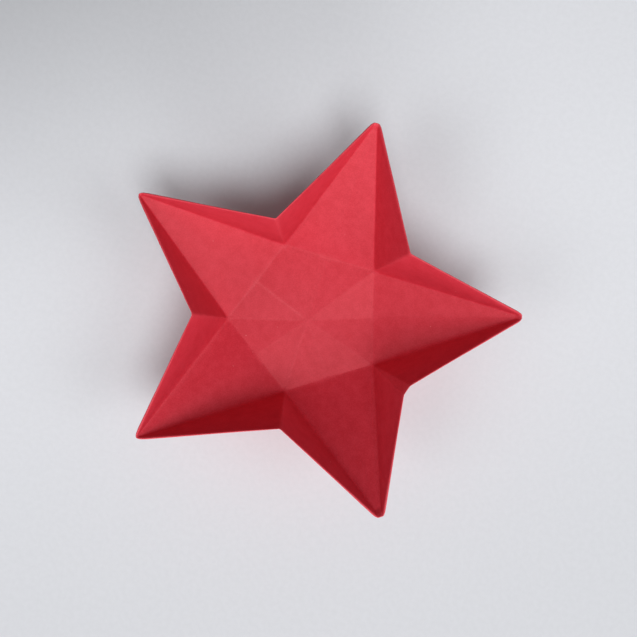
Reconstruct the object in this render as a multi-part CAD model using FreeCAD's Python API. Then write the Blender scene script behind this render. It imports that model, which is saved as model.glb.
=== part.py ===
import FreeCAD, Part
import math
import os

from FreeCAD import Matrix, Vector

# Star-shaped dish folded from one sheet of paper. Millimetres, degrees, Z up.
# The origin is the point on the table below the middle of the floor. Arm 0
# points along +Y, and arms are counted clockwise as seen from above.
#
# The sheet is a regular pentagon. Its corners fold behind along the lines
# that join the middles of its sides, which leaves a smaller pentagon with
# five flaps behind it. The smaller pentagon's diagonals are the creases of
# the dish: where they cross they bound the floor, and every wall is doubled
# by the flap outside it. The five edges folded first become the rim.

SHEET_SIDE = 88.0
PAPER = 0.15

# Each arm's bottom rises from the floor by its own angle, and leans a little
# to one side (positive is anticlockwise from above), as a hand folded it.
ARM_SLOPE = [34.0, 29.5, 33.0, 33.5, 29.0]
ARM_LEAN = [1.2, 0.4, 1.2, -1.6, -1.4]

# The floor keeps ten shallow creases from the first folding, which meet at its
# middle, on the table. Two of them still stand up as ridges. These are the
# heights that its corners and the middles of its edges have above the table:
# corner k lies between arms k-1 and k, and edge k is the foot of arm k.
CORNER_RISE = [0.0, 1.4, 0.9, 0.0, 0.0]
EDGE_RISE = [0.0, 0.0, 0.0, 0.75, 0.6]

# A hand folds a little beside the ideal lines, so each corner lies this far
# from its ideal place, along X and Y.
TIP_DRIFT = [(0.80, 0.04), (-0.43, 0.80), (0.55, 0.11), (-0.84, 0.63), (-0.18, -0.84)]
NOTCH_DRIFT = [(0.56, -0.34), (0.38, 0.62), (-0.32, -0.98), (0.61, 0.17), (-1.18, -0.12)]
CORNER_DRIFT = [(0.46, -0.67), (0.0, 0.0), (-0.27, 0.24), (0.0, 1.03), (0.0, 0.0)]
CENTRE_DRIFT = (0.0, -0.68)

# The flap lies this far from its wall, and springs open more at the tips.
FLAP_GAP = 0.10
TIP_GAP = 0.35

# The ridge below each notch is worn flat, to this width at the rim.
RIDGE_FLAT = [0.8, 0.8, 2.6, 0.8, 0.8]

# A tip is blunt: the rim's inner line turns on a radius, and the creases meet
# some way before the sharp corner that the rim lines would make.
TIP_RADIUS = 0.9
CREASE_STOP = 2.2
TIP_STEPS = 6

ARMS = 5
TURN = math.radians(360.0 / ARMS)
HALF_TURN = TURN / 2
UP = Vector(0, 0, 1)

# Flat lengths of the creased sheet, all from the one side length.
sheet_radius = SHEET_SIDE / (2 * math.sin(HALF_TURN))
rim_radius = sheet_radius * math.cos(HALF_TURN)
half_rim = rim_radius * math.sin(HALF_TURN)
rim_apothem = rim_radius * math.cos(HALF_TURN)
floor_radius = rim_radius * math.cos(TURN) / math.cos(HALF_TURN)
floor_apothem = floor_radius * math.cos(HALF_TURN)
arm_length = rim_radius - floor_apothem
wall_height = rim_apothem - floor_radius


def direction(angle):
    return Vector(math.cos(angle), math.sin(angle), 0)


def unit(vector):
    return Vector(vector).normalize()


def arm_angle(k):
    return math.pi / 2 - k * TURN


def notch_angle(k):
    return arm_angle(k) + HALF_TURN


def lifted(point, rise):
    return point + UP * (PAPER + rise)


def drifted(point, drift):
    return point + Vector(drift[0], drift[1], 0)


def meeting_point(foot, height, tip_a, tip_b, reach):
    """Point at one distance from the foot and another from both tips, on the dish's side."""
    along = unit(tip_a - foot)
    span = tip_a.distanceToPoint(foot)
    shift = along.dot(tip_b - foot)
    across = unit(tip_b - foot - along * shift)
    offset = across.dot(tip_b - foot)
    x = (height ** 2 - reach ** 2 + span ** 2) / (2 * span)
    y = (height ** 2 - reach ** 2 + shift ** 2 + offset ** 2 - 2 * shift * x) / (2 * offset)
    z = math.sqrt(height ** 2 - x ** 2 - y ** 2)
    base = foot + along * x + across * y
    side = along.cross(across) * z
    return min(base + side, base - side, key=lambda point: math.hypot(point.x, point.y))


def floor_points():
    centre = lifted(Vector(), 0)
    corners = [
        lifted(direction(notch_angle(k)) * floor_radius, CORNER_RISE[k]) for k in range(ARMS)
    ]
    edges = [lifted(direction(arm_angle(k)) * floor_apothem, EDGE_RISE[k]) for k in range(ARMS)]
    return centre, corners, edges


def tip_point(k, corners):
    """Sharp tip of arm k, hinged on the line between its two floor corners."""
    start = (corners[k] + corners[(k + 1) % ARMS]) / 2
    outward = direction(arm_angle(k))
    sideways = UP.cross(outward)
    slope = math.radians(ARM_SLOPE[k])
    lean = math.radians(ARM_LEAN[k])
    rising = outward * math.cos(slope) + UP * math.sin(slope)
    return start + (rising * math.cos(lean) + sideways * math.sin(lean)) * arm_length


def ridge_ends(notch, tip_before, tip_after, width):
    """Two rim points that flatten the ridge below a notch."""
    return [notch + unit(tip - notch) * width / 2 for tip in (tip_before, tip_after)]


def tip_curve(tip, before, after):
    """Rim points on the arc that rounds a tip, tangent to the rim on both sides."""
    toward_before = unit(before - tip)
    toward_after = unit(after - tip)
    inward = unit(toward_before + toward_after)
    sideways = unit(toward_after - toward_before)
    half = toward_before.getAngle(toward_after) / 2
    middle = tip + inward * TIP_RADIUS / math.sin(half)
    sweep = math.pi / 2 - half
    angles = [sweep * (2 * step / TIP_STEPS - 1) for step in range(TIP_STEPS + 1)]
    return [middle + (sideways * math.sin(a) - inward * math.cos(a)) * TIP_RADIUS for a in angles]


class Corner:
    """A corner of the creased sheet, with the places it has on the sheet's other faces."""

    def __init__(self, point, gap=FLAP_GAP, on_floor=False):
        self.top = point
        self.gap = gap
        self.on_floor = on_floor
        self.sheet_normals = []
        self.wall_normals = []
        self.foot = None

    def settle(self):
        self.under = self.top + common_offset(self.sheet_normals) * PAPER
        if self.on_floor:
            self.under.z = self.top.z - PAPER
        self.behind = common_offset(self.wall_normals or self.sheet_normals)
        self.flap_inside = self.top + self.behind * (PAPER + self.gap)
        self.flap_outside = self.top + self.behind * (2 * PAPER + self.gap)


def common_offset(normals):
    """Shortest step that moves a corner by one unit behind every face that meets there."""
    damping = 1e-6
    total = Vector()
    rows = Matrix(damping, 0, 0, 0, 0, damping, 0, 0, 0, 0, damping, 0, 0, 0, 0, 1)
    for n in normals:
        total = total - n
        rows = Matrix(
            rows.A11 + n.x * n.x, rows.A12 + n.x * n.y, rows.A13 + n.x * n.z, 0,
            rows.A21 + n.y * n.x, rows.A22 + n.y * n.y, rows.A23 + n.y * n.z, 0,
            rows.A31 + n.z * n.x, rows.A32 + n.z * n.y, rows.A33 + n.z * n.z, 0,
            0, 0, 0, 1,
        )
    return rows.inverse().multVec(total)


def triangle(a, b, c):
    return Part.Face(Part.makePolygon([a, b, c, a]))


def folded_points():
    """Where the hand put the middle, the floor's corners and edges, the tips and the notches."""
    centre, corners, edges = floor_points()
    tips = [tip_point(k, corners) for k in range(ARMS)]
    notches = [
        meeting_point(corners[k], wall_height, tips[k - 1], tips[k], half_rim)
        for k in range(ARMS)
    ]
    edge_drift = [
        [(a + b) / 2 for a, b in zip(CORNER_DRIFT[k], CORNER_DRIFT[(k + 1) % ARMS])]
        for k in range(ARMS)
    ]
    return (
        drifted(centre, CENTRE_DRIFT),
        [drifted(*pair) for pair in zip(corners, CORNER_DRIFT)],
        [drifted(*pair) for pair in zip(edges, edge_drift)],
        [drifted(*pair) for pair in zip(tips, TIP_DRIFT)],
        [drifted(*pair) for pair in zip(notches, NOTCH_DRIFT)],
    )


def creased_sheet():
    """Corners and triangles of the folded sheet's upper face: open part and walls."""
    centre_point, corner_points, edge_points, tips, notches = folded_points()
    centre = Corner(centre_point, on_floor=True)
    corners = [Corner(point, on_floor=True) for point in corner_points]
    edges = [Corner(point, on_floor=True) for point in edge_points]
    ends = [
        Corner(tips[k] + unit(edge_points[k] - tips[k]) * CREASE_STOP) for k in range(ARMS)
    ]

    open_part = []
    rim = []
    for k in range(ARMS):
        before, after = corners[k], corners[(k + 1) % ARMS]
        open_part += [(centre, edges[k], before), (centre, after, edges[k])]
        open_part += [(edges[k], ends[k], before), (edges[k], after, ends[k])]
        for point in ridge_ends(notches[k], tips[k - 1], tips[k], RIDGE_FLAT[k]):
            rim.append(Corner(point))
            rim[-1].foot = corners[k]
        for point in tip_curve(tips[k], notches[k], notches[(k + 1) % ARMS]):
            rim.append(Corner(point, TIP_GAP))
            rim[-1].foot = ends[k]

    walls = []
    for here, there in neighbours(rim):
        on_floor = here.foot if here.foot in corners else there.foot
        walls.append((here, there, on_floor))
        if here.foot is not there.foot:
            end_rim = there if on_floor is here.foot else here
            walls.append((here.foot, end_rim, there.foot))
    return open_part, walls, rim


def neighbours(ring):
    return list(zip(ring, ring[1:] + ring[:1]))


def measure_normals(open_part, walls):
    for trio in open_part + walls:
        a, b, c = (corner.top for corner in trio)
        normal = unit((b - a).cross(c - a))
        middle = (a + b + c) / 3
        if normal.dot(UP * 2 * half_rim - middle) < 0:
            normal = normal * -1
        for corner in trio:
            corner.sheet_normals.append(normal)
            if trio in walls:
                corner.wall_normals.append(normal)
    for corner in {id(c): c for trio in open_part + walls for c in trio}.values():
        corner.settle()


def bend(corner, start, end, radius):
    """Half-round section of the rim's fold at one corner, from one face to another."""
    rise = corner.top - corner.foot.top
    behind = unit(corner.behind)
    upward = unit(rise - behind * rise.dot(behind))
    return Part.Arc(start, (start + end) / 2 + upward * radius, end).toShape()


def folded_star_box():
    open_part, walls, rim = creased_sheet()
    measure_normals(open_part, walls)
    faces = []
    for trio in open_part + walls:
        faces.append(triangle(*(corner.top for corner in trio)))
        faces.append(triangle(*(corner.under for corner in trio)))
    for trio in walls:
        faces.append(triangle(*(corner.flap_inside for corner in trio)))
        faces.append(triangle(*(corner.flap_outside for corner in trio)))
    for here, there in neighbours(rim):
        outer = [bend(c, c.top, c.flap_outside, PAPER + c.gap / 2) for c in (here, there)]
        inner = [bend(c, c.under, c.flap_inside, c.gap / 2) for c in (here, there)]
        faces += [Part.makeRuledSurface(*outer), Part.makeRuledSurface(*inner)]
        a, b = here.foot, there.foot
        if a is not b:
            faces.append(triangle(a.flap_inside, a.flap_outside, b.flap_outside))
            faces.append(triangle(a.flap_inside, b.flap_outside, b.flap_inside))
    shell = Part.makeShell(faces)
    shell.sewShape()
    solid = Part.makeSolid(shell)
    if solid.Volume < 0:
        solid.reverse()
    return solid


os.makedirs("parts", exist_ok=True)
folded_star_box().exportStep("parts/folded_star_box.step")
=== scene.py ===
# %% [markdown]
# A star-shaped box folded from one sheet of red paper. The CAD model holds its
# real size and its folds as flat facets. Here the same sheet is folded again
# in Blender with soft creases, a springy rim and slightly uneven panels, and
# it gets a paper finish. It is one piece, because the real one is one sheet.

# %% The frame
import bpy
import bmesh
import math
from mathutils import Matrix, Vector


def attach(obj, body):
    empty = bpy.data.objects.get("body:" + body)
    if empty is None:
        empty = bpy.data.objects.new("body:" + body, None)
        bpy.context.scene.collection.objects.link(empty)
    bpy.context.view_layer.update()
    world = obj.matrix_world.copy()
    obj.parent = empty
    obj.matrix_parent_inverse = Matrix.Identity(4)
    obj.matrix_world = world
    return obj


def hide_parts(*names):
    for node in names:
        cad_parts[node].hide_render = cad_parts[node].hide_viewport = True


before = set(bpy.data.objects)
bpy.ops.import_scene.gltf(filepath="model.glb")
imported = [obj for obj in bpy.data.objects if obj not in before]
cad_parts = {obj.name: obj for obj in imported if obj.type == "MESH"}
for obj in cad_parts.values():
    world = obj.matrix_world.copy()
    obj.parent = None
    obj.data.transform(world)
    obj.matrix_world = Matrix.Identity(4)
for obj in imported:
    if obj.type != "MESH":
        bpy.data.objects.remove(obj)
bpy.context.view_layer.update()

# %% [markdown]
# An operator acts on whatever is selected, and the import leaves the CAD nodes
# selected. So nothing is selected before the first new piece is added. The
# helpers below pick faces and edges by their place, as a hand would by eye.

# %% Helpers for edit mode
MM = 0.001


def nothing_selected():
    if bpy.context.mode != "OBJECT":
        bpy.ops.object.mode_set(mode="OBJECT")
    bpy.ops.object.select_all(action="DESELECT")


def edit_mesh(piece, kind="VERT"):
    """Edit mode on one piece with nothing picked; returns its live mesh."""
    nothing_selected()
    piece.select_set(True)
    bpy.context.view_layer.objects.active = piece
    bpy.ops.object.mode_set(mode="EDIT")
    bpy.ops.mesh.select_mode(type=kind)
    bpy.ops.mesh.select_all(action="DESELECT")
    return bmesh.from_edit_mesh(piece.data)


def pick(piece, elements):
    for element in elements:
        element.select_set(True)
    bmesh.from_edit_mesh(piece.data).select_flush_mode()
    bmesh.update_edit_mesh(piece.data)


nothing_selected()

# %% [markdown]
# The sheet starts as a regular pentagon whose corners are folded behind, which
# leaves a smaller pentagon. All its creases are that pentagon's diagonals and
# axes, so one side length and a few fold angles place every corner. The same
# values build the CAD model. Slopes and leans are in degrees, and each drift is
# a step along x and y in millimetres.

# %% Sizes of the sheet
SHEET_SIDE = 88.0 * MM
PAPER = 0.15 * MM
ARM_SLOPE = [34.0, 29.5, 33.0, 33.5, 29.0]
ARM_LEAN = [1.2, 0.4, 1.2, -1.6, -1.4]
CORNER_RISE = [0.0, 1.4 * MM, 0.9 * MM, 0.0, 0.0]
EDGE_RISE = [0.0, 0.0, 0.0, 0.75 * MM, 0.6 * MM]
TIP_DRIFT = [(0.80, 0.04), (-0.43, 0.80), (0.55, 0.11), (-0.84, 0.63), (-0.18, -0.84)]
NOTCH_DRIFT = [(0.56, -0.34), (0.38, 0.62), (-0.32, -0.98), (0.61, 0.17), (-1.18, -0.12)]
CORNER_DRIFT = [(0.46, -0.67), (0.0, 0.0), (-0.27, 0.24), (0.0, 1.03), (0.0, 0.0)]
CENTRE_DRIFT = (0.0, -0.68)
ARMS = 5
TURN = math.tau / ARMS
HALF_TURN = TURN / 2
UP = Vector((0, 0, 1))

rim_radius = SHEET_SIDE / (2 * math.tan(HALF_TURN))
half_rim = rim_radius * math.sin(HALF_TURN)
floor_radius = rim_radius * math.cos(TURN) / math.cos(HALF_TURN)
floor_apothem = floor_radius * math.cos(HALF_TURN)
arm_length = rim_radius - floor_apothem
wall_height = rim_radius * math.cos(HALF_TURN) - floor_radius
print("rim radius, floor radius in mm:", round(rim_radius / MM, 2), round(floor_radius / MM, 2))


def direction(angle):
    return Vector((math.cos(angle), math.sin(angle), 0))


def arm_direction(k):
    return direction(math.pi / 2 - k * TURN)


def notch_direction(k):
    return direction(math.pi / 2 - k * TURN + HALF_TURN)


# %% [markdown]
# A paper fold keeps every length. The tips are hinged on the floor's edges by
# their slopes. A notch then lies where three known lengths meet: one from its
# floor corner and one from each tip beside it. Last, every corner is moved by
# the fraction of a millimetre that the hand was off the ideal line.

# %% Where the folded corners go
floor_corners = [
    notch_direction(k) * floor_radius + UP * (PAPER + CORNER_RISE[k]) for k in range(ARMS)
]
floor_edges = [
    arm_direction(k) * floor_apothem + UP * (PAPER + EDGE_RISE[k]) for k in range(ARMS)
]


def folded_tip(k):
    start = (floor_corners[k] + floor_corners[(k + 1) % ARMS]) / 2
    outward = arm_direction(k)
    slope, lean = math.radians(ARM_SLOPE[k]), math.radians(ARM_LEAN[k])
    rising = outward * math.cos(slope) + UP * math.sin(slope)
    return start + (rising * math.cos(lean) + UP.cross(outward) * math.sin(lean)) * arm_length


def meeting_point(foot, height, tip_a, tip_b, reach):
    along = (tip_a - foot).normalized()
    span = (tip_a - foot).length
    shift = along.dot(tip_b - foot)
    across = (tip_b - foot - along * shift).normalized()
    offset = across.dot(tip_b - foot)
    x = (height ** 2 - reach ** 2 + span ** 2) / (2 * span)
    y = (height ** 2 - reach ** 2 + shift ** 2 + offset ** 2 - 2 * shift * x) / (2 * offset)
    side = along.cross(across) * math.sqrt(height ** 2 - x ** 2 - y ** 2)
    base = foot + along * x + across * y
    return min(base + side, base - side, key=lambda point: point.xy.length)


def drifted(point, drift):
    return point + Vector((drift[0], drift[1], 0)) * MM


tips = [folded_tip(k) for k in range(ARMS)]
notches = [
    meeting_point(floor_corners[k], wall_height, tips[k - 1], tips[k], half_rim)
    for k in range(ARMS)
]
edge_drift = [
    [(a + b) / 2 for a, b in zip(CORNER_DRIFT[k], CORNER_DRIFT[(k + 1) % ARMS])]
    for k in range(ARMS)
]
centre = drifted(UP * PAPER, CENTRE_DRIFT)
floor_corners = [drifted(*pair) for pair in zip(floor_corners, CORNER_DRIFT)]
floor_edges = [drifted(*pair) for pair in zip(floor_edges, edge_drift)]
tips = [drifted(*pair) for pair in zip(tips, TIP_DRIFT)]
notches = [drifted(*pair) for pair in zip(notches, NOTCH_DRIFT)]
print("tip heights in mm:", [round(tip.z / MM, 1) for tip in tips])
print("notch heights in mm:", [round(notch.z / MM, 1) for notch in notches])

# %% [markdown]
# The flat sheet is a five-sided circle primitive. Bisect draws a crease right
# across it for each diagonal and each axis, as a ruler and a bone folder
# would, and the crossings become shared corners once doubles are merged.

# %% The creased flat sheet
CREASE_MERGE = 0.01 * MM

bpy.ops.mesh.primitive_circle_add(
    vertices=ARMS, radius=rim_radius, fill_type="NGON", location=(0, 0, 0)
)
star = bpy.context.active_object
star.name = "red_paper_star"
star.data.name = star.name


def flat_tip(k):
    return arm_direction(k) * rim_radius


def crease_across(start, end):
    bpy.ops.mesh.select_all(action="SELECT")
    bpy.ops.mesh.bisect(plane_co=start, plane_no=(end - start).cross(UP).normalized())


edit_mesh(star)
for k in range(ARMS):
    crease_across(flat_tip(k), flat_tip((k + 2) % ARMS))
    crease_across(Vector(), flat_tip(k))
bpy.ops.mesh.select_all(action="SELECT")
bpy.ops.mesh.remove_doubles(threshold=CREASE_MERGE)
bpy.ops.object.mode_set(mode="OBJECT")
print("creased sheet:", len(star.data.vertices), "corners,", len(star.data.polygons), "panels")

# %% [markdown]
# Folding is picking up each corner and putting it where the fold takes it. The
# panels between them stay flat triangles, as paper panels do.

# %% Folding the sheet
folding = [(Vector(), centre)]
for k in range(ARMS):
    folding.append((flat_tip(k), tips[k]))
    folding.append((notch_direction(k) * rim_radius * math.cos(HALF_TURN), notches[k]))
    folding.append((notch_direction(k) * floor_radius, floor_corners[k]))
    folding.append((arm_direction(k) * floor_apothem, floor_edges[k]))

live = edit_mesh(star)
corner_at = {}
for flat, folded in folding:
    corner_at[tuple(folded)] = min(live.verts, key=lambda vert: (vert.co - flat).length)
for folded, vert in corner_at.items():
    bpy.ops.mesh.select_all(action="DESELECT")
    pick(star, [vert])
    bpy.ops.transform.translate(value=Vector(folded) - vert.co)
bpy.ops.object.mode_set(mode="OBJECT")
print("folded box in mm:", [round(v / MM, 1) for v in star.dimensions])

# %% [markdown]
# The ridge below each notch is worn, not sharp. A bisect on each side of it,
# from the floor corner up to the rim, makes a narrow wedge, and moving the
# notch most of the way to that wedge's chord rounds it over. The lower right
# ridge in the photograph is pressed nearly flat, so its wedge is wider.

# %% Worn ridges below the notches
RIDGE_FLAT = [0.9 * MM, 0.9 * MM, 3.3 * MM, 0.9 * MM, 0.9 * MM]
RIDGE_ROUND = [0.35, 0.35, 0.05, 0.35, 0.35]


def corner_near(live, place):
    return min(live.verts, key=lambda vert: (vert.co - place).length)


def plane_normal(a, b, c):
    return (b - a).cross(c - a).normalized()


def pick_faces_on(planes):
    """Picks the faces that lie in any of these planes, each given by three points."""
    live = bmesh.from_edit_mesh(star.data)
    chosen = []
    for a, b, c in planes:
        normal = plane_normal(a, b, c)
        chosen += [
            face for face in live.faces
            if all(abs((vert.co - a).dot(normal)) < CREASE_MERGE for vert in face.verts)
        ]
    bpy.ops.mesh.select_all(action="DESELECT")
    pick(star, chosen)


edit_mesh(star, "FACE")
for k in range(ARMS):
    foot = floor_corners[k]
    rim_points = []
    for tip in (tips[k - 1], tips[k]):
        rim_points.append(notches[k] + (tip - notches[k]).normalized() * RIDGE_FLAT[k] / 2)
        wall = (foot, notches[k], tip)
        pick_faces_on([wall])
        across = (rim_points[-1] - foot).cross(plane_normal(*wall)).normalized()
        bpy.ops.mesh.bisect(plane_co=foot, plane_no=across)
    bpy.ops.mesh.select_mode(type="VERT")
    bpy.ops.mesh.select_all(action="DESELECT")
    live = bmesh.from_edit_mesh(star.data)
    notch = corner_near(live, notches[k])
    pick(star, [notch])
    to_chord = (rim_points[0] + rim_points[1]) / 2 - notch.co
    bpy.ops.transform.translate(value=to_chord * (1 - RIDGE_ROUND[k]))
    bpy.ops.mesh.select_mode(type="FACE")
bpy.ops.object.mode_set(mode="OBJECT")
print("with worn ridges:", len(star.data.vertices), "corners,", len(star.data.polygons), "panels")

# %% [markdown]
# The tips of a paper star are blunt: each is bisected off short of its sharp
# corner with the outer part cleared, and the gap is closed by one small face.
# Each tip in the photograph is blunt by its own amount.
# A second bisect further in tells the later subdivision to begin the rounding
# only there, so the rims stay straight almost up to the tip.

# %% Blunt tips
TIP_CUT = [2.2 * MM, 1.85 * MM, 2.7 * MM, 0.8 * MM, 0.85 * MM]
TIP_SOFT = 6.0 * MM
TIP_WALL_SLOPE = math.radians(55)

blunt_ends = []
edit_mesh(star, "FACE")
for k in range(ARMS):
    along_bottom = (tips[k] - floor_edges[k]).normalized()
    outward = arm_direction(k)
    cut_place = tips[k] - along_bottom * TIP_CUT[k]
    blunt_ends.append(cut_place)
    lean_out = outward * math.sin(TIP_WALL_SLOPE) - UP * math.cos(TIP_WALL_SLOPE)
    bisects = [
        {"plane_co": tips[k] - along_bottom * TIP_SOFT, "plane_no": outward},
        {"plane_co": cut_place, "plane_no": lean_out, "clear_outer": True},
    ]
    for cut in bisects:
        bpy.ops.mesh.select_mode(type="FACE")
        bpy.ops.mesh.select_all(action="DESELECT")
        live = bmesh.from_edit_mesh(star.data)
        pick(star, corner_near(live, tips[k]).link_faces)
        bpy.ops.mesh.bisect(**cut)
    bpy.ops.mesh.select_mode(type="VERT")
    bpy.ops.mesh.select_all(action="DESELECT")
    live = bmesh.from_edit_mesh(star.data)
    on_cut = [
        vert for vert in live.verts
        if abs((vert.co - cut_place).dot(lean_out)) < CREASE_MERGE
        and (vert.co - cut_place).length < 2 * TIP_CUT[k]
    ]
    pick(star, on_cut)
    bpy.ops.mesh.edge_face_add()
bpy.ops.object.mode_set(mode="OBJECT")
print("blunt tips:", len(star.data.vertices), "corners,", len(star.data.polygons), "panels")

# %% [markdown]
# A subdivision surface would melt the folds into soft dunes. An inset around
# every panel puts a row of narrow faces along each crease, which keeps the
# folds about as tight as paper folds. The faint fold along the middle of each
# arm was pressed open again, so an arm's bottom is inset as one panel. The
# floor and the top arm have the crispest folds, so their rows are narrower. A
# vertex group remembers the corners on the creases, because paper is rubbed
# paler there.

# %% Narrow faces along the creases
CREASE_ROW = 0.35 * MM
CRISP_ROW = 0.20 * MM
CRISP_ARM = 0

star.vertex_groups.new(name="folded")
edit_mesh(star, "FACE")
bpy.ops.mesh.select_all(action="SELECT")
bpy.ops.object.vertex_group_assign()


def inset_crease_row(width=CREASE_ROW, one_by_one=False):
    bpy.ops.mesh.inset(
        thickness=width, use_individual=one_by_one, use_even_offset=True, use_boundary=True
    )
    bpy.ops.object.vertex_group_remove_from()


bpy.ops.mesh.select_all(action="DESELECT")
live = bmesh.from_edit_mesh(star.data)
floor = [face for face in live.faces if face.calc_center_median().xy.length < floor_apothem]
pick(star, floor)
inset_crease_row(CRISP_ROW, one_by_one=True)
for k in range(ARMS):
    tip, left, right = tips[k], floor_corners[k], floor_corners[(k + 1) % ARMS]
    pick_faces_on([(floor_edges[k], left, tip), (floor_edges[k], right, tip)])
    inset_crease_row(CRISP_ROW if k == CRISP_ARM else CREASE_ROW)
    for foot, notch in ((left, notches[k]), (right, notches[(k + 1) % ARMS])):
        pick_faces_on([(foot, notch, tip)])
        inset_crease_row()
bpy.ops.object.mode_set(mode="OBJECT")
print("with crease rows:", len(star.data.vertices), "corners,", len(star.data.polygons), "faces")

# %% [markdown]
# The rounding of a subdivision surface reaches as far as the faces are long.
# So every long edge is divided first, without changing the shape, and only
# the edges that run across the narrow rows are left whole.

# %% Even, smaller faces
CUTS = 7

live = edit_mesh(star, "EDGE")
folded = star.vertex_groups["folded"].index
weights = live.verts.layers.deform.verify()
on_crease = {vert: folded in vert[weights] for vert in live.verts}
pick(star, [
    edge for edge in live.edges if on_crease[edge.verts[0]] == on_crease[edge.verts[1]]
])
bpy.ops.mesh.subdivide(number_cuts=CUTS, smoothness=0)
bpy.ops.object.mode_set(mode="OBJECT")
print("divided:", len(star.data.vertices), "corners,", len(star.data.polygons), "faces")

# %% [markdown]
# Some creases in the photograph are so soft that the arm's bottom runs into
# its wall without an edge, and the others are a little soft too. Smoothing the
# corners of the mesh along a crease opens it, the more the more passes it
# gets, and the crisp ends near the floor and the tip stay as they are.

# %% Soft creases
ARM_LEFT_PASSES = [2, 2, 8, 8, 2]
ARM_RIGHT_PASSES = [1, 8, 8, 8, 3]
FLOOR_PASSES = 1
SOFT_WIDTH = 1.6 * MM
SOFT_END = 5.0 * MM


def distance_to(place, start, end):
    along = end - start
    share = (place - start).dot(along) / along.length_squared
    return (place - start - along * min(max(share, 0.0), 1.0)).length


def smooth_where(is_there, passes):
    live = edit_mesh(star)
    chosen = [vert for vert in live.verts if is_there(vert.co)]
    pick(star, chosen)
    bpy.ops.mesh.vertices_smooth(factor=0.5, repeat=passes)
    bpy.ops.object.mode_set(mode="OBJECT")
    return len(chosen)


softened = smooth_where(lambda place: place.xy.length < floor_apothem, FLOOR_PASSES)
for k in range(ARMS):
    left, right = floor_corners[k], floor_corners[(k + 1) % ARMS]
    for foot, passes in ((left, ARM_LEFT_PASSES[k]), (right, ARM_RIGHT_PASSES[k])):
        start = foot + (tips[k] - foot).normalized() * SOFT_END
        end = tips[k] + (foot - tips[k]).normalized() * SOFT_END
        softened += smooth_where(
            lambda place: distance_to(place, start, end) < SOFT_WIDTH, passes
        )
print("softened corners:", softened)

# %% [markdown]
# Each wall is doubled by the flap folded behind it. The walls are picked by
# their steepness, duplicated, and fattened outwards by two papers and the air
# between them. Behind a ridge that crowds the flap's narrow faces together, so
# smoothing spreads them into a soft valley. Towards the tips a flap springs
# further away, which proportional editing spreads smoothly along it.

# %% Flaps behind the walls
FLAP_GAP = 0.10 * MM
TIP_GAP = 0.42 * MM
STEEP = 0.78
VALLEY_WIDTH = 1.6 * MM
VALLEY_PASSES = 6
TIP_REACH = 3.0 * MM
SPRING_REACH = 25 * MM

star.vertex_groups.new(name="rim")
live = edit_mesh(star, "EDGE")
pick(star, [edge for edge in live.edges if edge.is_boundary])
bpy.ops.object.vertex_group_assign()
bpy.ops.mesh.select_mode(type="FACE")
bpy.ops.mesh.select_all(action="DESELECT")
live = bmesh.from_edit_mesh(star.data)
pick(star, [face for face in live.faces if face.normal.z < STEEP])
bpy.ops.mesh.duplicate()
bpy.ops.transform.shrink_fatten(value=-(2 * PAPER + FLAP_GAP))
bpy.ops.object.mode_set(mode="OBJECT")


def near_a_tip(place):
    return min((place - tip).length for tip in tips) < TIP_REACH


def near_a_ridge(place):
    return min(distance_to(place, *ridge) for ridge in zip(floor_corners, notches)) < VALLEY_WIDTH


flap_corners = [vert.index for vert in star.data.vertices if vert.select]
flap_faces = [face.index for face in star.data.polygons if face.select]
live = edit_mesh(star, "VERT")
live.verts.ensure_lookup_table()
flap = [live.verts[index] for index in flap_corners]
valleys = [vert for vert in flap if near_a_ridge(vert.co) and not vert.is_boundary]
pick(star, valleys)
bpy.ops.mesh.vertices_smooth(factor=0.5, repeat=VALLEY_PASSES)
bpy.ops.mesh.select_all(action="DESELECT")
sprung = [vert for vert in flap if near_a_tip(vert.co)]
pick(star, sprung)
bpy.ops.transform.shrink_fatten(
    value=FLAP_GAP - TIP_GAP, use_proportional_edit=True, use_proportional_connected=True,
    proportional_size=SPRING_REACH, proportional_edit_falloff="LINEAR",
)
bpy.ops.mesh.select_mode(type="FACE")
bpy.ops.mesh.select_all(action="DESELECT")
live = bmesh.from_edit_mesh(star.data)
live.faces.ensure_lookup_table()
pick(star, [live.faces[index] for index in flap_faces])
bpy.ops.mesh.flip_normals()
print("flap corners in the valleys and sprung at the tips:", len(valleys), len(sprung))

# %% [markdown]
# The rim is where the sheet turns over from wall to flap. A bridge joins the
# two edges with one row between them, and lifting that row gives the fold its
# round back once the surface is subdivided. The fold is fuller towards a tip,
# where the flap springs open, so each corner of the row has its own lift. It
# goes straight up, although the wall leans out, so the far side of the fold
# can be seen from above: it is the thin dark line outside the bright one in
# the photograph.

# %% The folded rim
RIM_LIFT = 0.36 * MM
TIP_LIFT = 0.60 * MM

bpy.ops.mesh.select_mode(type="EDGE")
bpy.ops.mesh.select_all(action="DESELECT")
bpy.ops.object.vertex_group_select()
bpy.ops.mesh.bridge_edge_loops(number_cuts=1, interpolation="LINEAR")
bpy.ops.mesh.select_mode(type="FACE")
live = bmesh.from_edit_mesh(star.data)
rim_faces = [face for face in live.faces if face.select]
facing_up = sum(face.normal.z > 0 for face in rim_faces)
middle_row = [
    vert for vert in live.verts
    if vert.select and all(face.select for face in vert.link_faces)
]
bpy.ops.mesh.select_mode(type="VERT")
lifts = []
for vert in middle_row:
    to_tip = min((vert.co - tip).length for tip in tips)
    lift = RIM_LIFT + TIP_LIFT * max(0.0, 1 - to_tip / SPRING_REACH)
    lifts.append((vert, UP * lift))
for vert, lift in lifts:
    bpy.ops.mesh.select_all(action="DESELECT")
    pick(star, [vert])
    bpy.ops.transform.translate(value=lift)
bpy.ops.object.mode_set(mode="OBJECT")
print("rim faces:", len(rim_faces), "facing up:", facing_up, "middle row:", len(middle_row))

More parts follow.
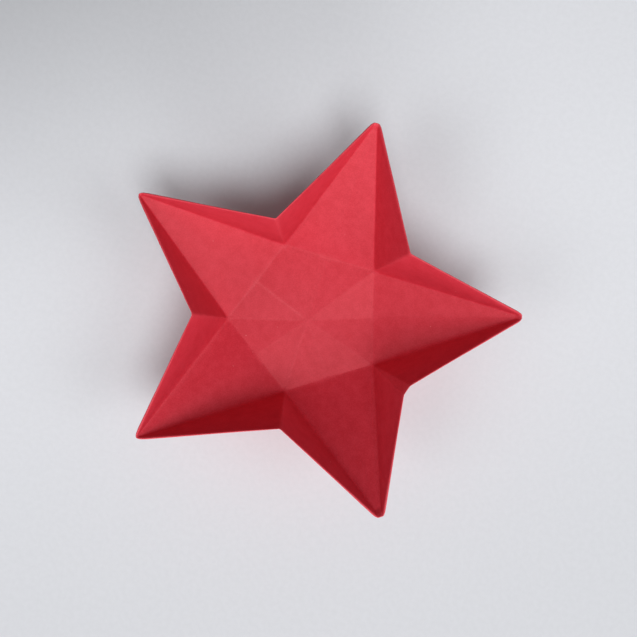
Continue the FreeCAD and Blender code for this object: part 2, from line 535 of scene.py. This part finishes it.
# %% [markdown]
# A hand presses some folds hard and some hardly at all. These tables say how
# much paler each crease is rubbed, from 0 to 1, as the photograph shows it: on
# the floor from its middle to its corners and to its sides, along the sides,
# and up both long creases of each arm. The ridges below the notches share one.

# %% How worn each crease is
TO_CORNER_WEAR = [0.0, 0.1, 0.2, 0.3, 0.4]
TO_SIDE_WEAR = [0.0, 0.1, 0.2, 0.25, 0.8]
FLOOR_SIDE_WEAR = [0.0, 0.1, 0.3, 0.3, 0.4]
ARM_LEFT_WEAR = [0.1, 0.1, 0.5, 0.1, 0.3]
ARM_RIGHT_WEAR = [0.2, 0.1, 0.2, 0.6, 0.2]
RIDGE_WEAR = 0.3

creases = []
for k in range(ARMS):
    after = (k + 1) % ARMS
    creases += [
        (centre, floor_corners[k], TO_CORNER_WEAR[k]),
        (centre, floor_edges[k], TO_SIDE_WEAR[k]),
        (floor_corners[k], floor_edges[k], FLOOR_SIDE_WEAR[k]),
        (floor_edges[k], floor_corners[after], FLOOR_SIDE_WEAR[k]),
        (floor_corners[k], tips[k], ARM_LEFT_WEAR[k]),
        (floor_corners[after], tips[k], ARM_RIGHT_WEAR[k]),
        (floor_corners[k], notches[k], RIDGE_WEAR),
    ]


def wear_at(place):
    return min((distance_to(place, start, end), wear) for start, end, wear in creases)[1]


# %% [markdown]
# The finish needs to know where the folds are. Two attributes, one number per
# corner, say how worn a crease is and where the rim is painted paler, with
# wear and a painted highlight. They are filled from the vertex groups now, while
# the mesh is coarse, and the subdivision blends them smoothly with the shape.

# %% Where the paper is worn, and where the rim gets its painted highlight
def group_as_attribute(piece, group_name, attribute_name, strength_at):
    group = piece.vertex_groups[group_name].index
    weights = [
        sum(g.weight for g in vert.groups if g.group == group) and strength_at(vert.co)
        for vert in piece.data.vertices
    ]
    attribute = piece.data.attributes.new(attribute_name, "FLOAT", "POINT")
    attribute.data.foreach_set("value", weights)
    print(attribute_name, "on", sum(1 for weight in weights if weight > 0), "corners")


group_as_attribute(star, "folded", "worn_crease", wear_at)
# The rim's number places its paler colour, which is partly wear and partly a painted highlight.
group_as_attribute(star, "rim", "rim_wear_and_highlight", lambda place: 1.0)
star.vertex_groups.clear()

# %% [markdown]
# Three modifiers finish the sheet. The subdivision surface rounds the folds, a
# faint displacement takes away the machined flatness of the panels, and
# Solidify gives the paper its real thickness behind the surface, closing the
# raw edges of the flaps. All three are applied. Then the tips are smoothed, as
# the fingers that pinched them left them, and the star is raised until its
# lowest point just touches the ground.

# %% Rounded, uneven and thick
SMOOTH_STEPS = 1
UNEVEN_SIZE = 11 * MM
UNEVEN_DEPTH = 0.12 * MM
PINCHED = 1.8 * MM
PINCH_PASSES = 5

nothing_selected()
star.select_set(True)
bpy.context.view_layer.objects.active = star
rounding = star.modifiers.new("rounding", "SUBSURF")
rounding.levels = rounding.render_levels = SMOOTH_STEPS
hand = bpy.data.textures.new("hand_folded", "CLOUDS")
hand.noise_scale = UNEVEN_SIZE
uneven = star.modifiers.new("uneven", "DISPLACE")
uneven.texture = hand
uneven.texture_coords = "LOCAL"
uneven.direction = "NORMAL"
uneven.strength = UNEVEN_DEPTH
uneven.mid_level = 0.5
thick = star.modifiers.new("paper", "SOLIDIFY")
thick.thickness = PAPER
thick.offset = -1
for name in [modifier.name for modifier in star.modifiers]:
    bpy.ops.object.modifier_apply(modifier=name)
pinched = smooth_where(
    lambda place: min((place - blunt_end).length for blunt_end in blunt_ends) < PINCHED, PINCH_PASSES
)
print("pinched corners:", pinched)
bpy.ops.object.shade_smooth()
lowest = min(vert.co.z for vert in star.data.vertices)
star.location.z = -lowest
bpy.ops.object.transform_apply(location=True, rotation=False, scale=False)
print("paper star:", len(star.data.polygons), "faces, raised in mm:", round(-lowest / MM, 3))

# %% [markdown]
# Shader maths is easier to read as ordinary sums. A wire stands for a node's
# output, adding or multiplying wires adds the Math nodes, and any other node
# comes from one method that takes its kind, its settings and its inputs.

# %% Helpers for materials
class Wire:
    """An output on its way to other nodes, which takes part in ordinary sums."""

    def __init__(self, finish, socket):
        self.finish = finish
        self.socket = socket

    def sum_with(self, operation, first, second):
        return self.finish.node("Math", {"operation": operation}, {0: first, 1: second})

    def __add__(self, other):
        return self.sum_with("ADD", self, other)

    def __radd__(self, other):
        return self.sum_with("ADD", other, self)

    def __sub__(self, other):
        return self.sum_with("SUBTRACT", self, other)

    def __rsub__(self, other):
        return self.sum_with("SUBTRACT", other, self)

    def __mul__(self, other):
        return self.sum_with("MULTIPLY", self, other)

    def __rmul__(self, other):
        return self.sum_with("MULTIPLY", other, self)


class Finish:
    """A material and its nodes."""

    def __init__(self, name):
        self.material = bpy.data.materials.new(name)
        self.material.use_nodes = True
        self.tree = self.material.node_tree
        self.tree.nodes.clear()

    def node(self, kind, settings=None, inputs=None, output=0):
        made = self.tree.nodes.new("ShaderNode" + kind)
        for setting, value in (settings or {}).items():
            setattr(made, setting, value)
        for socket, value in (inputs or {}).items():
            if isinstance(value, Wire):
                self.tree.links.new(value.socket, made.inputs[socket])
            else:
                made.inputs[socket].default_value = value
        return Wire(self, made.outputs[output]) if made.outputs else None

    def noise(self, place, size, detail=2.0, roughness=0.5):
        """Even noise around one half, whose lumps are about this size."""
        return self.node(
            "TexNoise", None,
            {"Vector": place, "Scale": 1 / size, "Detail": detail, "Roughness": roughness},
        )

    def between(self, value, low, high, to_low=0.0, to_high=1.0):
        """A smooth ramp that turns low..high into another range."""
        return self.node(
            "MapRange", {"interpolation_type": "SMOOTHSTEP"},
            {"Value": value, "From Min": low, "From Max": high, "To Min": to_low, "To Max": to_high},
        )

    def blend(self, factor, first, second):
        """Mixes two colours, which are a Mix node's inputs 6 and 7 and its output 2."""
        return self.node(
            "Mix", {"data_type": "RGBA"}, {0: factor, 6: first, 7: second}, output=2
        )


# %% [markdown]
# The star is plain coloured paper, red right through and on both sides. Three
# sizes of noise give it the cloudy look of pressed fibres, the grain, and a
# few pale fibres. Where it is folded the colour is rubbed paler, in broken
# lines on the creases. On the rim the same paler colour is partly wear and
# partly a painted highlight. The hollows of the grain are a little shinier
# than its tops, which break the light up.

# %% Red paper
RED = (0.618, 0.028, 0.053, 1)
RED_DEEP = (0.542, 0.011, 0.029, 1)
# Paler red: real wear on the creases, and wear with a painted highlight on the rim.
RED_RUBBED_AND_HIGHLIGHT = (0.78, 0.12, 0.15, 1)
FIBRE = (0.80, 0.35, 0.36, 1)
CLOUD_SIZE = 2.6 * MM
GRAIN_SIZE = 0.35 * MM
SPECK_SIZE = 0.9 * MM
GRAIN_DEPTH = 0.06 * MM
FIBRE_SHOWS = 0.6
CREASE_RUBBED = 0.35
RIM_WEAR_AND_HIGHLIGHT = 0.15
DULLEST = 0.73
SHEEN = 0.16

paper = Finish("red_paper")
place = paper.node("TexCoord", output="Object")
crease = paper.node("Attribute", {"attribute_name": "worn_crease"}, output="Fac")
rim = paper.node("Attribute", {"attribute_name": "rim_wear_and_highlight"}, output="Fac")
clouds = paper.noise(place, CLOUD_SIZE, 3.0, 0.55)
grain = paper.noise(place, GRAIN_SIZE, 3.0, 0.6)
specks = paper.noise(place, SPECK_SIZE, 1.0, 0.4)
pressed = paper.between(0.35 * clouds + 0.65 * grain, 0.36, 0.64)
colour = paper.blend(pressed, RED_DEEP, RED)
fibres = paper.between(specks, 0.80, 0.86)
colour = paper.blend(fibres * FIBRE_SHOWS, colour, FIBRE)
broken = paper.between(grain, 0.35, 0.65, 0.5, 1.0)
colour = paper.blend(crease * broken * CREASE_RUBBED, colour, RED_RUBBED_AND_HIGHLIGHT)
# Painted highlight: the rim is painted paler, partly as wear and partly as the light on its rounded
# fold.
rim_wear_and_painted_highlight = paper.between(rim, 0.35, 0.9) * broken
colour = paper.blend(rim_wear_and_painted_highlight * RIM_WEAR_AND_HIGHLIGHT, colour, RED_RUBBED_AND_HIGHLIGHT)
roughness = DULLEST - SHEEN * (1 - grain)
height = 0.6 * grain + 0.4 * clouds
bumped = paper.node("Bump", None, {"Strength": 0.5, "Distance": GRAIN_DEPTH, "Height": height})
shader = paper.node(
    "BsdfPrincipled", None,
    {"Base Color": colour, "Roughness": roughness, "Normal": bumped, "Specular IOR Level": 0.56},
)
paper.node("OutputMaterial", None, {"Surface": shader})
star.data.materials.clear()
star.data.materials.append(paper.material)
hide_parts("folded_star_box")
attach(star, "root")
print("red paper nodes:", len(paper.tree.nodes))

# %% [markdown]
# The star lies on a pale, slightly bluish board. It is far larger than the
# view, so no edge shows. Painted light makes it lighter away from the near edge,
# a painted shadow darkens it towards one far corner, and it has a faint tooth.

# %% Pale board
BOARD_SIZE = 4.0
BOARD_LIGHT = (0.704, 0.729, 0.767, 1)
BOARD_BLACK = (0.0, 0.0, 0.0, 1)
# Painted light grows along this way, and a painted shadow darkens the colour around the corner
# below.
PAINTED_LIGHT_WAY = direction(math.radians(114.5))
PAINTED_LIGHT_SPAN = (-121 * MM, 45 * MM)
PAINTED_LIGHT_NEAR_TONE = 0.80
PAINTED_SHADOW_CORNER = (-196 * MM, 172 * MM, 0)
PAINTED_SHADOW_SPAN = (60 * MM, 243 * MM)
PAINTED_SHADOW_TONE = 0.45
TOOTH_SIZE = 1.5 * MM
TOOTH_TONE = 0.97

board_finish = Finish("pale_board")
board_place = board_finish.node("TexCoord", output="Object")
board_clouds = board_finish.noise(board_place, TOOTH_SIZE, 4.0, 0.6)
far = board_finish.node(
    "VectorMath", {"operation": "DOT_PRODUCT"}, {0: board_place, 1: PAINTED_LIGHT_WAY}, output="Value"
)
from_corner = board_finish.node(
    "VectorMath", {"operation": "DISTANCE"}, {0: board_place, 1: PAINTED_SHADOW_CORNER}, output="Value"
)
# Painted light: the colour grows lighter away from the near edge.
painted_light = board_finish.between(far, *PAINTED_LIGHT_SPAN, PAINTED_LIGHT_NEAR_TONE, 1.0)
# Painted shadow: the colour darkens towards one far corner.
painted_shadow = board_finish.between(from_corner, *PAINTED_SHADOW_SPAN, PAINTED_SHADOW_TONE, 1.0)
tooth = board_finish.between(board_clouds, 0.3, 0.7, TOOTH_TONE, 1.0)
board_colour = board_finish.blend(painted_light * painted_shadow * tooth, BOARD_BLACK, BOARD_LIGHT)
board_shader = board_finish.node(
    "BsdfPrincipled", None,
    {"Base Color": board_colour, "Roughness": 0.7, "Specular IOR Level": 0.2},
)
board_finish.node("OutputMaterial", None, {"Surface": board_shader})
nothing_selected()
bpy.ops.mesh.primitive_plane_add(size=BOARD_SIZE, location=(0, 0, 0))
board = bpy.context.active_object
board.name = "pale_board"
board.data.materials.append(board_finish.material)

# %% [markdown]
# The photograph has the soft, broad light of a bright room: most of it from
# above on the lower right side, weaker light from three lower directions, and
# little from the upper left. Each direction is a disk lamp a metre away, which
# gives shadows with wide soft edges; its three numbers are the way it stands
# and its height, both in degrees, and its watts. What reaches the shadows comes
# from the room, whose light is slightly warm.

# %% Light
LAMP_DISTANCE = 1.0
LAMP_SIZE = 0.55
LAMPS = {
    "overhead_window": (300, 65, 6.0),
    "left_window": (225, 40, 2.35),
    "right_window": (0, 40, 2.65),
    "low_window": (292, 15, 4.1),
}
ROOM = (1.0, 0.90, 0.89, 1)
ROOM_STRENGTH = 0.19

for name, (azimuth, height, watts) in LAMPS.items():
    level = direction(math.radians(azimuth)) * math.cos(math.radians(height))
    toward_lamp = level + UP * math.sin(math.radians(height))
    lamp_data = bpy.data.lights.new(name, "AREA")
    lamp_data.shape = "DISK"
    lamp_data.size = LAMP_SIZE
    lamp_data.energy = watts
    lamp = bpy.data.objects.new(name, lamp_data)
    bpy.context.scene.collection.objects.link(lamp)
    lamp.location = toward_lamp * LAMP_DISTANCE
    lamp.rotation_euler = toward_lamp.to_track_quat("Z", "Y").to_euler()

world = bpy.data.worlds.new("pale_room")
bpy.context.scene.world = world
world.use_nodes = True
background = world.node_tree.nodes["Background"]
background.inputs["Color"].default_value = ROOM
background.inputs["Strength"].default_value = ROOM_STRENGTH
bpy.context.scene.view_settings.view_transform = "Standard"

# %% [markdown]
# The camera looks almost straight down, as a hand holding it over the table
# would. Its place was worked out from the outline's ten corners in the
# photograph. It is rolled, and a small lens shift moves the middle of the
# view, as a cropped photograph has it. Its turn is one axis whose length is
# the angle, and its move is counted in rim radii.

# %% Camera
VIEW_TURN = (0.0068, 0.0286, -0.3169)
VIEW_MOVE = (0.0458, -0.0698, -3.339)
FOCAL_PIXELS = 700
MIDDLE_OFF = (-19.8, -14.9)
IMAGE_PIXELS = 637
SENSOR = 36
NEAREST = 10 * MM

turn = Vector(VIEW_TURN)
model_to_camera = Matrix.Rotation(turn.length, 3, turn.normalized())
camera_data = bpy.data.cameras.new("hand_held")
camera_data.sensor_width = SENSOR
camera_data.lens = SENSOR * FOCAL_PIXELS / IMAGE_PIXELS
camera_data.shift_x = -MIDDLE_OFF[0] / IMAGE_PIXELS
camera_data.shift_y = MIDDLE_OFF[1] / IMAGE_PIXELS
camera_data.clip_start = NEAREST
camera = bpy.data.objects.new("hand_held", camera_data)
bpy.context.scene.collection.objects.link(camera)
camera_turn = model_to_camera.transposed()
camera.location = camera_turn @ (Vector(VIEW_MOVE) * -rim_radius)
camera.rotation_euler = camera_turn.to_euler()
bpy.context.scene.camera = camera
print("camera in mm:", [round(v / MM, 1) for v in camera.location])
